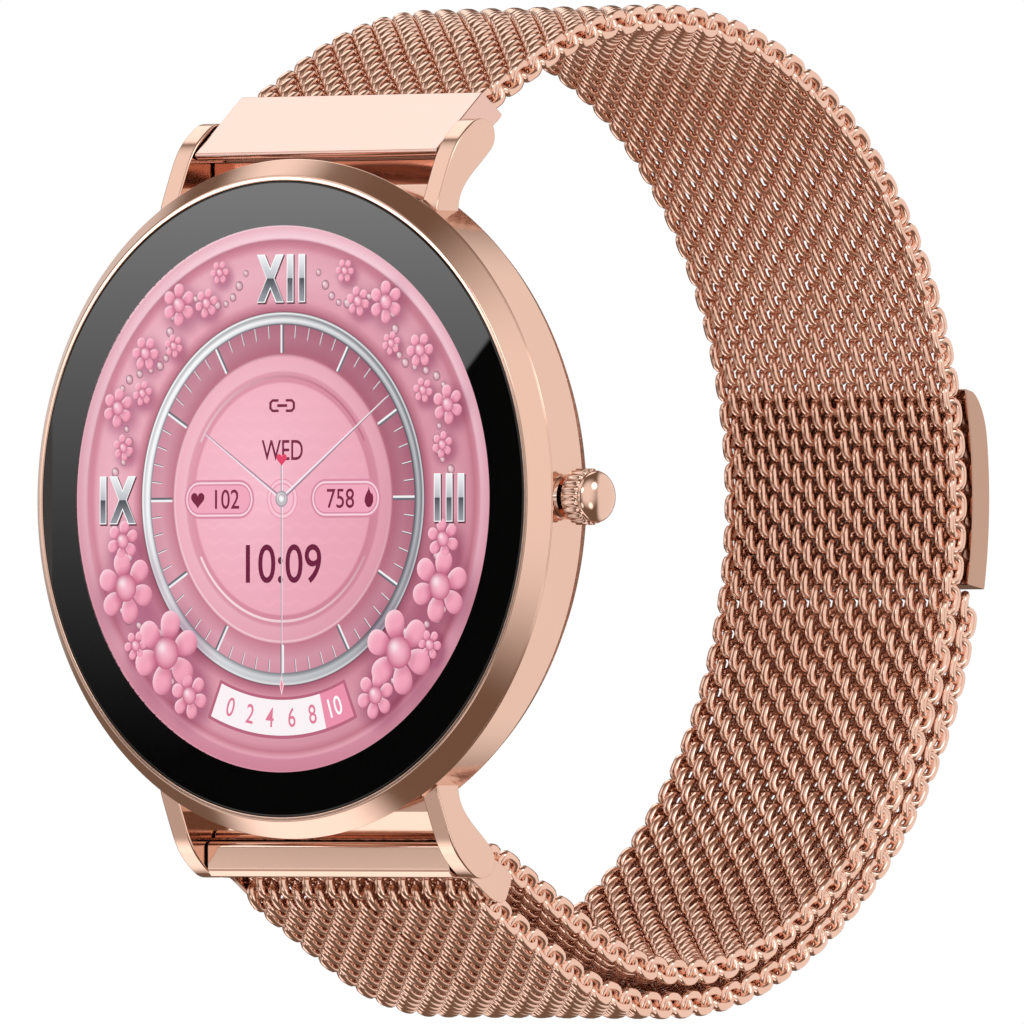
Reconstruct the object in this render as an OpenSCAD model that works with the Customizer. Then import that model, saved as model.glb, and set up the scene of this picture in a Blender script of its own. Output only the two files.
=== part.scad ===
// Round smartwatch on a woven mesh band with a magnetic clasp.
// +X is the crown side, +Z is 12 o'clock, and the dial looks along -Y.
// The origin is the middle of the flat back that rests on the skin.

/* [Case] */
// Outer diameter of the case
case_d = 42; // [40:0.5:44]
// Thickness from the skin face to the top of the glass
case_depth = 8; // [7.6:0.1:9]
// Height of the sloping bezel
bezel_h = 1.08; // [0.8:0.02:1.3]
// Height of the straight side wall below the bezel
wall_h = 2.84; // [2.4:0.02:3.2]
// Diameter of the cover glass
glass_d = 39.2; // [37:0.1:39.4]
// Thickness of the cover glass
glass_t = 0.8; // [0.6:0.05:1]

/* [Lugs] */
// Clear gap between the two lugs of a pair, the band's nominal width
lug_gap = 20; // [19.95:0.01:20.1]
// Thickness of one lug
lug_t = 1.35; // [1.2:0.05:1.6]
// Height of the spring bars above and below the middle of the dial
bar_z = 22; // [21.9:0.05:22.1]
// Distance of the spring bars in front of the skin face
bar_y = 2.6; // [2.5:0.05:2.7]

/* [Crown] */
// Diameter of the crown's toothed grip
crown_d = 3.5; // [3.2:0.1:3.8]
// Number of teeth round the grip
crown_teeth = 22; // [16:1:28]
// How far the crown can be pressed in
crown_travel = 0.3; // [0.2:0.05:0.3]

/* [Band] */
// Width of the woven band
band_w = 18.9; // [18:0.1:19]
// Thickness of the woven band
band_t = 1.5; // [1.3:0.05:1.6]
// Distance between the middles of the two layers where they lie together
layer_pitch = 1.85; // [1.8:0.05:2]
// Distance between the two layers at the fold round the buckle bar
fold_w = 2.9; // [2.8:0.05:3]
// Length of the clasp plate along the band
clasp_l = 12; // [10:0.5:13]

/* [Hidden] */
$fn = 96;

rose_gold = "#dcb09b";
rose_mesh = "#c98c72";
steel = "silver";
gold_pad = "goldenrod";

// Places along the depth, all in front of the skin face
glass_y = -case_depth;
glass_back_y = glass_y + glass_t;
wall_y = glass_y + bezel_h;
wall_back_y = wall_y + wall_h;
adhesive_t = 0.15;
panel_y = glass_back_y + adhesive_t;
panel_t = 0.8;
spigot_y = -6.62;
seal_y = -6.45;
seat_y = -2.4;
back_y = -1.1;
back_t = 0.5;
case_r = case_d / 2;
glass_r = glass_d / 2;
bore_r = 18.7;
back_bore_r = 16.6;
spigot_r = 19.3;

// Crown places
crown_y = (wall_y + wall_back_y) / 2;
collar_x = case_r + 0.3;
knob_x = collar_x + crown_travel + 0.02;
grip_x = knob_x + 0.2;
grip_l = 1.25;
cap_x = grip_x + grip_l;
stem_r = 0.5;
stem_in_x = 17.2;

// Spring bars
bar_r = 0.75;
bar_gap = 0.03;
tip_r = 0.4;
bars = [[-bar_y, bar_z], [-bar_y, -bar_z]];

// The band's middle line, as [radius, turn in degrees], or [0, length] where it is straight
band_start = [0.38, 24.37, 27.65];
route = [[0, 5.4], [27.65, 71.25], [30.4, 116.4], [19, 48.6], [0, 9.9]];
function run(leg) = leg[0] == 0 ? leg[1] : leg[0] * leg[1] * PI / 180;
function onward(p, leg, s) = leg[0] == 0
    ? [p[0] + s * cos(p[2]), p[1] + s * sin(p[2]), p[2]]
    : let (r = leg[0], h = p[2] - s / r * 180 / PI)
        [p[0] + r * (sin(p[2]) - sin(h)), p[1] - r * (cos(p[2]) - cos(h)), h];
function along(s, i = 0, p = band_start) =
    i == len(route) - 1 || s <= run(route[i]) ? onward(p, route[i], s)
    : along(s - run(route[i]), i + 1, onward(p, route[i], run(route[i])));
function beside(s, d) = let (p = along(s)) [p[0] - d * sin(p[2]), p[1] + d * cos(p[2])];
function total(i = 0) = i == len(route) ? 0 : run(route[i]) + total(i + 1);
route_l = total();

// The band swings as a parallelogram: each back pivot is its spring bar moved by this much
swing = [39.7, 0.4];
upper_pivot = bars[0] + swing;
lower_pivot = bars[1] + swing;
upper_s = run(route[0]) + run(route[1]);
lower_s = upper_s + 30.4 * 2 * asin(bar_z / 30.4) * PI / 180;

// The second layer lies on the first, and stands off it towards the buckle
spread_s = 105;
spread_l = 15;
function blend(u) = let (v = min(1, max(0, u))) v * v * (3 - 2 * v);
function layer_gap(s) = layer_pitch + (fold_w - layer_pitch) * blend((s - spread_s) / spread_l);
fold_at = beside(route_l, fold_w / 2);
bar_far_r = 0.45;
function fold_rim(r, a) = let (h = along(route_l)[2] + a) fold_at + r * [sin(h), -cos(h)];

// Bends of the loose end, and the clasp plate at its tip
peel_s = [83, 78, 73];
clasp_s = 69.7;
pivot_gap = 0.15;
step_s = 1.2;
link_w = 19.7;
plate_w = 19.2;
plate_t = 1.7;

// Turned about the dial's axis, from points of radius and depth
module turned(points) rotate([-90, 0, 0]) rotate_extrude() polygon(points);

// A round disc or pin along the depth
module disc(r, y0, y1, x = 0, z = 0)
    translate([x, y0, z]) rotate([-90, 0, 0]) cylinder(r = r, h = y1 - y0);

// A round rod across the watch
module rod(r, x0, x1, y, z)
    translate([x0, y, z]) rotate([0, 90, 0]) cylinder(r = r, h = x1 - x0);

// A flat outline of depth and height, carried across the watch
module across(x0, x1) rotate([90, 0, 90]) translate([0, 0, x0]) linear_extrude(x1 - x0) children();

// A box between two corners
module block(low, high) translate(low) cube(high - low);

// A ring with square corners
module ring(r0, r1, y0, y1) turned([[r0, y0], [r1, y0], [r1, y1], [r0, y1]]);

// A stretch of woven band between two places, d out from the first layer
module band(s0, s1, layer = 0) {
    n = ceil((s1 - s0) / step_s);
    places = [for (i = [0:n]) s0 + (s1 - s0) * i / n];
    across(-band_w / 2, band_w / 2) polygon(concat(
        [for (s = places) beside(s, layer * layer_gap(s) + band_t / 2)],
        [for (i = [n:-1:0]) beside(places[i], layer * layer_gap(places[i]) - band_t / 2)]));
}

// The round end of a stretch that turns at a pivot
module band_end(at) rod(band_t / 2, -band_w / 2, band_w / 2, at[0], at[1]);

// A square-wire coil along X, as one closed tube
module coil(r, wire_r, x0, x1, turns, y, z) {
    sides = 4;
    steps = turns * 8;
    rings = [for (i = [0:steps]) for (k = [0:sides - 1])
        let (a = i * 45, q = k * 360 / sides, rr = r + wire_r * cos(q))
        [x0 + (x1 - x0) * i / steps + wire_r * sin(q), y + rr * cos(a), z + rr * sin(a)]];
    walls = [for (i = [0:steps - 1]) for (k = [0:sides - 1])
        let (a = i * sides + k, b = i * sides + (k + 1) % sides)
        [a, b, b + sides, a + sides]];
    first = [for (k = [sides - 1:-1:0]) k];
    last = [for (k = [0:sides - 1]) steps * sides + k];
    polyhedron(rings, concat(walls, [first, last]));
}

module cover_glass() color("black", 0.5) turned([[0, glass_y], [glass_r - 0.15, glass_y],
    [glass_r, glass_y + 0.15], [glass_r, glass_back_y], [0, glass_back_y]]);

module glass_adhesive() color("dimgray") ring(18.8, 19.5, glass_back_y, panel_y);

module bezel_ring() color(rose_gold) turned([[glass_r + 0.03, glass_y],
    [glass_r + 0.32, glass_y], [case_r, wall_y], [spigot_r, wall_y], [spigot_r, spigot_y],
    [18.6, spigot_y], [18.6, panel_y], [glass_r + 0.03, panel_y]]);

module bezel_seal() color("black") ring(18.8, 19.25, spigot_y, seal_y);

// The outline of one lug, from its root inside the case wall to its rounded tip
module lug_outline() polygon([[-6.5, 14], [-6.5, 17.9], [-5.83, 19.5], [-5.12, 21.1],
    [-4.52, 22], [-3.65, 22.8], [-2.9, 23.3], [-2.3, 23.42], [-1.6, 23.3], [-1.1, 23],
    [-0.95, 22.6], [-0.97, 21.8], [-1.9, 20.95], [-3.2, 19.9], [-3.95, 19.1],
    [-4.4, 18.2], [-4.4, 14]]);

module lugs() for (up = [0, 1]) for (side = [0, 1])
    mirror([0, 0, up]) mirror([side, 0, 0]) across(lug_gap / 2, lug_gap / 2 + lug_t) lug_outline();

module mid_case() color(rose_gold) difference() {
    union() {
        // Stepped inner wall, seen between the lugs
        turned([[spigot_r, wall_y], [20.7, wall_y], [20.7, -6.5], [20.45, -6.5], [20.45, -6.1],
            [20.2, -6.1], [20.2, -5.7], [19.95, -5.7], [19.95, -3.6], [19.3, -1.9],
            [18.5, back_y], [back_bore_r, back_y], [back_bore_r, seat_y],
            [bore_r, seat_y], [bore_r, seal_y], [spigot_r, seal_y]]);
        // Full-width wall everywhere else
        difference() {
            turned([[19.5, wall_y], [case_r, wall_y], [case_r, wall_back_y], [20.5, -3.2],
                [19.5, -1.9], [18.6, back_y], [18.3, back_y], [19.1, -1.9], [19.5, -3.6]]);
            for (up = [-1, 1]) block([-lug_gap / 2, -9, up * 20 - 6], [lug_gap / 2, 0, up * 20 + 6]);
        }
        difference() {
            lugs();
            disc(spigot_r + 0.05, -9, 0);
        }
    }
    for (at = bars) rod(tip_r + 0.02, -12, 12, at[0], at[1]);
    // Hole for the crown tube, and threaded holes for the back cover
    rod(0.9, 17, 22, crown_y, 0);
    for (a = [45:90:315]) disc(0.5, -3, 0, 17.5 * cos(a), 17.5 * sin(a));
}

module display_panel() color("hotpink") disc(18.3, panel_y, panel_y + panel_t);

module display_frame() color("dimgray") difference() {
    disc(18.4, panel_y + panel_t, -5.5);
    disc(17.4, -5.95, -5);
    block([-5, -7, -18.6], [5, -5, -16.4]);
    // Room for the crown's plunger and switch
    block([12.8, -7, -2.6], [19, -5, 2.6]);
}

module display_flex() color("orange") {
    block([-4, panel_y + panel_t, -17.3], [4, -6.1, -16.6]);
    block([-4, -6.1, -17.3], [4, -3.6, -17.15]);
    block([-4, -3.6, -17.3], [4, -3.45, -14.6]);
}

module main_board() color("darkgreen") difference() {
    disc(17.2, -5.4, -4.6);
    block([-5, -6, -18], [5, -4, -16.2]);
    block([13.6, -6, -2.4], [18, -4, 2.4]);
}

module shield_cans() color(steel) {
    block([-9, -4.6, 9.4], [2, -3.4, 15.2]);
    block([3.2, -4.6, 9.8], [9.6, -3.6, 14.6]);
}

module board_sockets() color("black") {
    block([-4.2, -4.6, -16], [4.2, -3.6, -14.4]);
    block([-13.8, -4.6, 1.5], [-12.2, -3.8, 6.5]);
}

module battery() color("lightgray") block([-11.5, -4.1, -9], [11.5, -1.9, 8.6]);

module battery_pad() color("white") block([-10.5, -4.6, -8], [10.5, -4.1, 7.6]);

module vibration_motor() color(steel) {
    disc(3.3, -4.6, -2.75, 7.9, -12.5);
    disc(1.1, -2.75, -2.6, 7.9, -12.5);
}

module speaker() color("gray") difference() {
    block([-11.2, -4.6, -13.6], [-4.4, -2.6, -9.4]);
    for (i = [0:3]) disc(0.35, -2.9, -2, -9.75 + i * 1.3, -10.2);
}

module microphone() color("gold") block([11.2, -4.6, 9.2], [13.8, -3.6, 11.2]);

module back_cover() color("#3a3638") difference() {
    turned([[0, back_y], [0, -1.6], [15.9, -1.6], [15.9, back_y], [18.4, back_y],
        [18.4, back_y + 0.2], [18.1, back_y + back_t], [9.6, back_y + back_t],
        [9.2, -0.2], [8.6, -0.2], [8.6, back_y], [0, back_y]]);
    disc(8, -2, 0);
    disc(8.6, back_y, 0);
    for (side = [-1, 1]) disc(0.85, -2, 0, side * 2.6, -12.6);
    for (a = [45:90:315]) {
        disc(0.55, -2, 0, 17.5 * cos(a), 17.5 * sin(a));
        disc(0.95, -0.9, 0, 17.5 * cos(a), 17.5 * sin(a));
    }
}

module back_seal() color("black") ring(15.95, 16.55, -1.6, back_y);

module back_screws() color(steel) for (a = [45:90:315]) difference() {
    union() {
        disc(0.48, -2.6, -0.9, 17.5 * cos(a), 17.5 * sin(a));
        disc(0.88, -0.9, -0.65, 17.5 * cos(a), 17.5 * sin(a));
    }
    disc(0.4, -0.8, 0, 17.5 * cos(a), 17.5 * sin(a), $fn = 6);
}

module sensor_window() color("black", 0.6) turned([[0, back_y], [8.55, back_y],
    [8.55, -0.3], [8.1, -0.1], [7.4, 0], [0, 0]]);

module sensor_board() color("darkgreen") disc(7.6, -1.75, -1.55);

module sensor_leds() color("lime") {
    for (x = [-0.9, 0.9]) block([x - 0.6, -1.55, -0.6], [x + 0.6, -1.2, 0.6]);
    for (x = [-4.4, 4.4]) block([x - 1.3, -1.55, -1.3], [x + 1.3, -1.2, 1.3]);
}

module sensor_flex() color("orange") {
    block([-13.4, -1.75, 2.5], [-7.2, -1.6, 5.5]);
    block([-13.4, -3.8, 2.5], [-13.25, -1.75, 5.5]);
}

module charging_contacts() color(gold_pad) for (side = [-1, 1]) {
    disc(0.82, -1.6, -0.5, side * 2.6, -12.6);
    disc(1.2, -1.8, -1.6, side * 2.6, -12.6);
}

module charging_magnets() color("gray") for (side = [-1, 1])
    disc(1.9, -2.45, -1.6, side * 6.6, -12.2);

module crown_tube() color(rose_gold) rotate([0, 90, 0]) translate([0, crown_y, 0])
    rotate_extrude() polygon([[stem_r + 0.05, 18.45], [0.88, 18.45], [0.88, case_r + 0.01],
        [1.4, case_r + 0.01], [1.4, collar_x], [0.85, collar_x], [0.85, collar_x - 0.5],
        [stem_r + 0.05, collar_x - 0.5]]);

module crown_seal() color("black") rotate([0, 90, 0]) translate([0, crown_y, 0])
    rotate_extrude() polygon([[stem_r + 0.02, collar_x - 0.5], [0.83, collar_x - 0.5],
        [0.83, collar_x - 0.15], [stem_r + 0.02, collar_x - 0.15]]);

module crown_stem() color(steel) {
    rod(stem_r, stem_in_x, knob_x + 0.6, crown_y, 0);
    rod(0.68, stem_in_x, stem_in_x + 0.3, crown_y, 0);
}

// Outline of the toothed grip: each tooth is a quarter, a rise, a half and a fall of its step
module grip_outline() polygon([for (i = [0:crown_teeth - 1]) for (edge = [[0.1, 0], [0.3, 1],
    [0.7, 1], [0.9, 0]]) let (a = (i + edge[0]) * 360 / crown_teeth,
    r = crown_d / 2 - (edge[1] == 0 ? 0.13 : 0)) [r * cos(a), r * sin(a)]]);

module crown_knob() color(rose_gold) translate([0, crown_y, 0]) rotate([0, 90, 0])
    difference() {
        union() {
            translate([0, 0, knob_x]) cylinder(r = 1.4, h = 0.4);
            translate([0, 0, grip_x]) linear_extrude(grip_l) grip_outline();
            // Domed cap
            rotate_extrude() polygon(concat([[0, cap_x - 0.2], [1.5, cap_x - 0.2], [1.5, cap_x]],
                [for (a = [0:15:75]) [1.6 * cos(a), cap_x + 0.15 + 0.95 * sin(a)]],
                [[0, cap_x + 1.1]]));
        }
        translate([0, 0, knob_x - 1]) cylinder(r = stem_r, h = 1.6);
    }

module crown_plunger() color("gray") {
    block([16.6, crown_y - 0.65, -1.1], [stem_in_x, crown_y + 0.65, 1.1]);
}

module crown_switch() color("black") {
    block([13.8, -6, -2.2], [15.2, -3.4, 2.2]);
    rod(0.4, 15.2, 16.2, crown_y, 0);
}

module crown_spring() color(steel)
    coil(0.56, 0.1, 15.32, 16.14, 4, crown_y, 0);

module spring_bar(at) color(steel) difference() {
    rod(bar_r, -9.2, 9.2, at[0], at[1]);
    rod(0.5, -10, 10, at[0], at[1]);
}

module upper_spring_bar() spring_bar(bars[0]);

module lower_spring_bar() spring_bar(bars[1]);

module spring_bar_tips() color(steel) for (at = bars) for (side = [0, 1]) mirror([side, 0, 0]) {
    rod(tip_r, 9.2, 11, at[0], at[1]);
    rod(0.46, 7.6, 9.2, at[0], at[1]);
    rod(0.65, 9.2, 9.6, at[0], at[1]);
}

module spring_bar_springs() color(steel) for (at = bars)
    coil(0.34, 0.1, -7.4, 7.4, 9, at[0], at[1]);

// The hollow that a spring bar turns in
module bar_hole(at) rod(bar_r + bar_gap, -12, 12, at[0], at[1]);

module upper_end_link() color(rose_gold) difference() {
    union() {
        across(-link_w / 2, link_w / 2) polygon([[-4.85, 21.45], [-4.75, 21.2], [-4.5, 21.12],
            [-3.3, 21.4], [-2.1, 21.15], [1.2, 23.4], [1.5, 23.7], [-0.4, 25.1]]);
        rod(1.02, -link_w / 2, link_w / 2, bars[0][0], bars[0][1]);
    }
    bar_hole(bars[0]);
    // Slot that the woven band is fixed in
    across(-band_w / 2, band_w / 2) polygon([beside(-0.8, band_t / 2), beside(3, band_t / 2),
        beside(3, -band_t / 2), beside(-0.8, -band_t / 2)]);
}

module band_top() color(rose_mesh) {
    band(-0.8, upper_s);
    band_end(upper_pivot);
}

module band_back() color(rose_mesh)
    band(upper_s + band_t / 2 + pivot_gap, lower_s - band_t / 2 - pivot_gap);

module buckle_frame() color(rose_gold) difference() {
    union() {
        rod(0.98, -link_w / 2, link_w / 2, bars[1][0], bars[1][1]);
        // Front plate
        across(-link_w / 2, link_w / 2) polygon([[-3.5, -21.7], [-3.4, -22.3], [-2.75, -22.95],
            [-1.5, -23.42], [-1.25, -22.9], [-1.75, -22.2]]);
        // Side plates
        for (side = [0, 1]) mirror([side, 0, 0]) across(band_w / 2 + 0.06, link_w / 2)
            polygon([[-3.4, -21.6], [-2.6, -21.1], [0.9, -22.25], [2.5, -23.2], [1.75, -25],
                [0.5, -24.75], [-1.5, -23.42], [-2.75, -22.95], [-3.4, -22.3]]);
    }
    bar_hole(bars[1]);
    rod(bar_far_r, -12, 12, fold_at[0], fold_at[1]);
}

module buckle_bar() color(rose_gold)
    rod(bar_far_r, -link_w / 2, link_w / 2, fold_at[0], fold_at[1]);

module band_lower() color(rose_mesh) {
    band(lower_s, route_l);
    band_end(lower_pivot);
}

// Half turn round the far bar of the buckle
module band_fold() color(rose_mesh) {
    across(-band_w / 2, band_w / 2) polygon(concat(
        [for (a = [0:15:180]) fold_rim(fold_w / 2 + band_t / 2, a)],
        [for (a = [180:-15:0]) fold_rim(fold_w / 2 - band_t / 2, a)]));
}

module band_return() color(rose_mesh) band(lower_s + 0.3, route_l, 1);

module band_tail_root() color(rose_mesh) {
    band(peel_s[0], lower_s - 0.3, 1);
    band_end(beside(peel_s[0], layer_pitch));
}

// A stretch of the loose end, flat at the pivot that carries it and round at the next one
module tail_link(i) {
    band(peel_s[i + 1], peel_s[i] - band_t / 2 - pivot_gap, 1);
    band_end(beside(peel_s[i + 1], layer_pitch));
}

module band_tail_lower() color(rose_mesh) tail_link(0);

module band_tail_upper() color(rose_mesh) tail_link(1);

module band_tail_end() color(rose_mesh)
    band(clasp_s, peel_s[2] - band_t / 2 - pivot_gap, 1);

// The outline of the clasp between two distances from the band's middle line
module clasp_outline(s0, s1, d0, d1) polygon(concat(
    [for (s = [s0:1:s1]) beside(s, d1)], [for (s = [s1:-1:s0]) beside(s, d0)]));

clasp_in = layer_pitch - band_t / 2 - 0.12;
clasp_out = clasp_in + plate_t;

module clasp_shell() color(rose_gold) difference() {
    across(-plate_w / 2, plate_w / 2) polygon(concat(
        [for (s = [clasp_s - clasp_l + 1:1:clasp_s]) beside(s, clasp_out)],
        [for (i = [0:11]) beside(clasp_s - i, clasp_in)],
        [beside(clasp_s - clasp_l, clasp_in + 0.15), beside(clasp_s - clasp_l, clasp_in + 0.9),
        beside(clasp_s - clasp_l + 0.4, clasp_out - 0.3)]));
    across(-8.4, 8.4) clasp_outline(clasp_s - 10.6, clasp_s - 1.6, clasp_in - 1, clasp_in + 1.25);
}

module clasp_liner() color(steel)
    across(-8.4, 8.4) clasp_outline(clasp_s - 10.6, clasp_s - 1.6, clasp_in, clasp_in + 0.25);

module clasp_magnets() color("dimgray") for (x = [-5.4, 0, 5.4])
    across(x - 2.5, x + 2.5) clasp_outline(clasp_s - 10.2, clasp_s - 2.2, clasp_in + 0.27, clasp_in + 1.2);

cover_glass();
glass_adhesive();
bezel_ring();
bezel_seal();
mid_case();
display_panel();
display_flex();
display_frame();
main_board();
shield_cans();
board_sockets();
battery();
battery_pad();
vibration_motor();
speaker();
microphone();
back_cover();
back_seal();
back_screws();
sensor_window();
sensor_board();
sensor_leds();
sensor_flex();
charging_contacts();
charging_magnets();
crown_tube();
crown_seal();
crown_stem();
crown_knob();
crown_plunger();
crown_switch();
crown_spring();
upper_spring_bar();
lower_spring_bar();
spring_bar_tips();
spring_bar_springs();
upper_end_link();
band_top();
band_back();
buckle_frame();
buckle_bar();
band_lower();
band_fold();
band_return();
band_tail_root();
band_tail_lower();
band_tail_upper();
band_tail_end();
clasp_shell();
clasp_liner();
clasp_magnets();
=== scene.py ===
import math

import bpy
import numpy as np
from mathutils import Matrix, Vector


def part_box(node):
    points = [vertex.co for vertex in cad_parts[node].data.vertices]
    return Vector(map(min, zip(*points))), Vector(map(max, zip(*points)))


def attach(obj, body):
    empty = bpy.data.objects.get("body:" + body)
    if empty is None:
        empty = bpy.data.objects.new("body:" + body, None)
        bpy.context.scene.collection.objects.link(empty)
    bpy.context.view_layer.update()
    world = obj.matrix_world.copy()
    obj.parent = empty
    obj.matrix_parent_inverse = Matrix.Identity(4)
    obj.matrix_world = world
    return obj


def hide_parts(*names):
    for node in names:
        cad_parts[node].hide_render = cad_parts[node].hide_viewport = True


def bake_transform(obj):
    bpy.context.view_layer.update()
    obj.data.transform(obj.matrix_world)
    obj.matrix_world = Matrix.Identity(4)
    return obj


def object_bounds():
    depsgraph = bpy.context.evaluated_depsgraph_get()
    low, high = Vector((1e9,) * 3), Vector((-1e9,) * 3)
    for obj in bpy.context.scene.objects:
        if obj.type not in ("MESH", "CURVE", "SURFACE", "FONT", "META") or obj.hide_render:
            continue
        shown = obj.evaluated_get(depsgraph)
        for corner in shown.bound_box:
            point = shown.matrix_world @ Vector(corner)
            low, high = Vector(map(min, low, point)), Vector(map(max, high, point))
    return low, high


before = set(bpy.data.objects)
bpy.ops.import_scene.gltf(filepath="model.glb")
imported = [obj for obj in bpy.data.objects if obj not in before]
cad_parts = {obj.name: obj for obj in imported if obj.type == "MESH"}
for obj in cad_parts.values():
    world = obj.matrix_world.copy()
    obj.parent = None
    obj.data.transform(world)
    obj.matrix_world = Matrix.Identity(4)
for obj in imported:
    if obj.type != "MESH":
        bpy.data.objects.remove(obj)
cad_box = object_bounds()
scene = bpy.context.scene

# ---------------------------------------------------------------- studio table, camera and lights
# A plain white table under one wide overhead panel. The camera is a very long lens on the crown side, at
# dial height. The air round the watch is dim and warm, with thirteen soft white fields and one card
# that only the polished plate and the glass mirror.

MM = 0.001
TURN_DEG = 40.39            # camera, from the dial's front towards the crown
TILT_DEG = -0.543           # camera, above the dial's middle
LENS_DISTANCE = 1659.0      # mm
FRAME_WIDTH = 63.37         # mm seen across the frame at the dial
AIM = (9.04, -0.754)        # mm, across and up, from the dial's middle to the middle of the frame
TABLE_DROP = 8.5            # mm under the band's lowest point


def srgb(code):
    """Linear colour of a hex sRGB code: below 0.04045 a straight line, above it a 2.4 power."""
    value = np.array([int(code[i:i + 2], 16) for i in (1, 3, 5)]) / 255
    linear = np.where(value <= 0.04045, value / 12.92, ((value + 0.055) / 1.055) ** 2.4)
    return (*(float(v) for v in linear), 1.0)


def add(tree, kind, inputs=None, **settings):
    """Adds one node. Settings are its own choices; an input is a value, or a socket to link."""
    node = tree.nodes.new(kind)
    for name, value in settings.items():
        setattr(node, name, value)
    for name, value in (inputs or {}).items():
        if isinstance(value, bpy.types.NodeSocket):
            tree.links.new(value, node.inputs[name])
        else:
            node.inputs[name].default_value = value
    return node


def material_of(name, **inputs):
    """A material with one Principled shader; its inputs are given by name, with _ for a space."""
    material = bpy.data.materials.new(name)
    material.use_nodes = True
    shader = material.node_tree.nodes["Principled BSDF"]
    for key, value in inputs.items():
        shader.inputs[key.replace("_", " ")].default_value = value
    return material, material.node_tree, shader


def mesh_of(name, points, faces, material, sharp_deg=40.0):
    """A mesh object from points in mm and a list of face arrays, each with one corner count.
    Edges sharper than sharp_deg keep a crisp line, and the rest is smooth."""
    corners = np.concatenate([group.reshape(-1) for group in faces])
    counts = np.concatenate([np.full(len(group), group.shape[1]) for group in faces])
    mesh = bpy.data.meshes.new(name)
    mesh.vertices.add(len(points))
    mesh.vertices.foreach_set("co", (np.asarray(points) * MM).astype(np.float32).reshape(-1))
    mesh.loops.add(len(corners))
    mesh.loops.foreach_set("vertex_index", corners.astype(np.int32))
    mesh.polygons.add(len(counts))
    mesh.polygons.foreach_set("loop_start", (np.cumsum(counts) - counts).astype(np.int32))
    mesh.polygons.foreach_set("loop_total", counts.astype(np.int32))
    mesh.polygons.foreach_set("use_smooth", np.ones(len(counts), bool))
    mesh.update(calc_edges=True)
    mesh.set_sharp_from_angle(angle=math.radians(sharp_deg))
    mesh.materials.append(material)
    piece = bpy.data.objects.new(name, mesh)
    scene.collection.objects.link(piece)
    return piece


def grid_faces(rows, columns, wrap_rows=False, wrap_columns=False):
    """Quads between the neighbouring points of a rows x columns grid, wrapped round where asked."""
    r = np.arange(rows if wrap_rows else rows - 1)[:, None]
    c = np.arange(columns if wrap_columns else columns - 1)[None, :]
    r_next, c_next = (r + 1) % rows, (c + 1) % columns
    quads = np.broadcast_arrays(r * columns + c, r * columns + c_next,
                                r_next * columns + c_next, r_next * columns + c)
    return np.stack(quads, -1).reshape(-1, 4)


turn, tilt = math.radians(TURN_DEG), math.radians(TILT_DEG)
toward = np.array([math.sin(turn) * math.cos(tilt), -math.cos(turn) * math.cos(tilt), math.sin(tilt)])
across = np.array([math.cos(turn), math.sin(turn), 0.0])
upward = np.cross(toward, across)
place = (toward * LENS_DISTANCE + across * AIM[0] + upward * AIM[1]) * MM
lens = bpy.data.cameras.new("studio_camera")
lens.sensor_width = 36
lens.lens = 36 * LENS_DISTANCE / FRAME_WIDTH
lens.clip_start, lens.clip_end = 0.05, 30
camera = bpy.data.objects.new("studio_camera", lens)
camera.matrix_world = Matrix([[*row, p] for row, p in zip(np.stack([across, upward, toward], 1), place)]
                             + [[0, 0, 0, 1]])
scene.collection.objects.link(camera)
scene.camera = camera
scene.view_settings.view_transform = "Standard"

# The table is low enough for the band to swing down above it.
table_z = cad_box[0][2] / MM - TABLE_DROP
reach, side = np.meshgrid(np.linspace(-2600, 700, 40), np.linspace(-1500, 1500, 30), indexing="ij")
table_points = np.stack([side * across[0] - reach * toward[0], side * across[1] - reach * toward[1],
                         table_z + 0 * reach], -1).reshape(-1, 3)
table_paper, tree, shader = material_of("matt_white_paper", Base_Color=srgb("#FBFAF9"), Roughness=0.9)
fibre = add(tree, "ShaderNodeTexNoise", {"Scale": 900.0, "Detail": 3.0,
            "Vector": add(tree, "ShaderNodeTexCoord").outputs["Object"]})
tree.links.new(add(tree, "ShaderNodeBump", {"Strength": 0.02, "Distance": 0.0002,
               "Height": fibre.outputs["Fac"]}).outputs["Normal"], shader.inputs["Normal"])
table = mesh_of("studio_table", table_points, [grid_faces(40, 30)[:, ::-1]], table_paper)
table.visible_glossy = False

panel = bpy.data.lights.new("overhead_panel", "AREA")
panel.shape, panel.size, panel.energy = "SQUARE", 3.0, 110
overhead = bpy.data.objects.new("overhead_panel", panel)
overhead.matrix_world = Matrix.Translation((0, 0, 1.6))
overhead.visible_glossy = False
scene.collection.objects.link(overhead)

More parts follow.
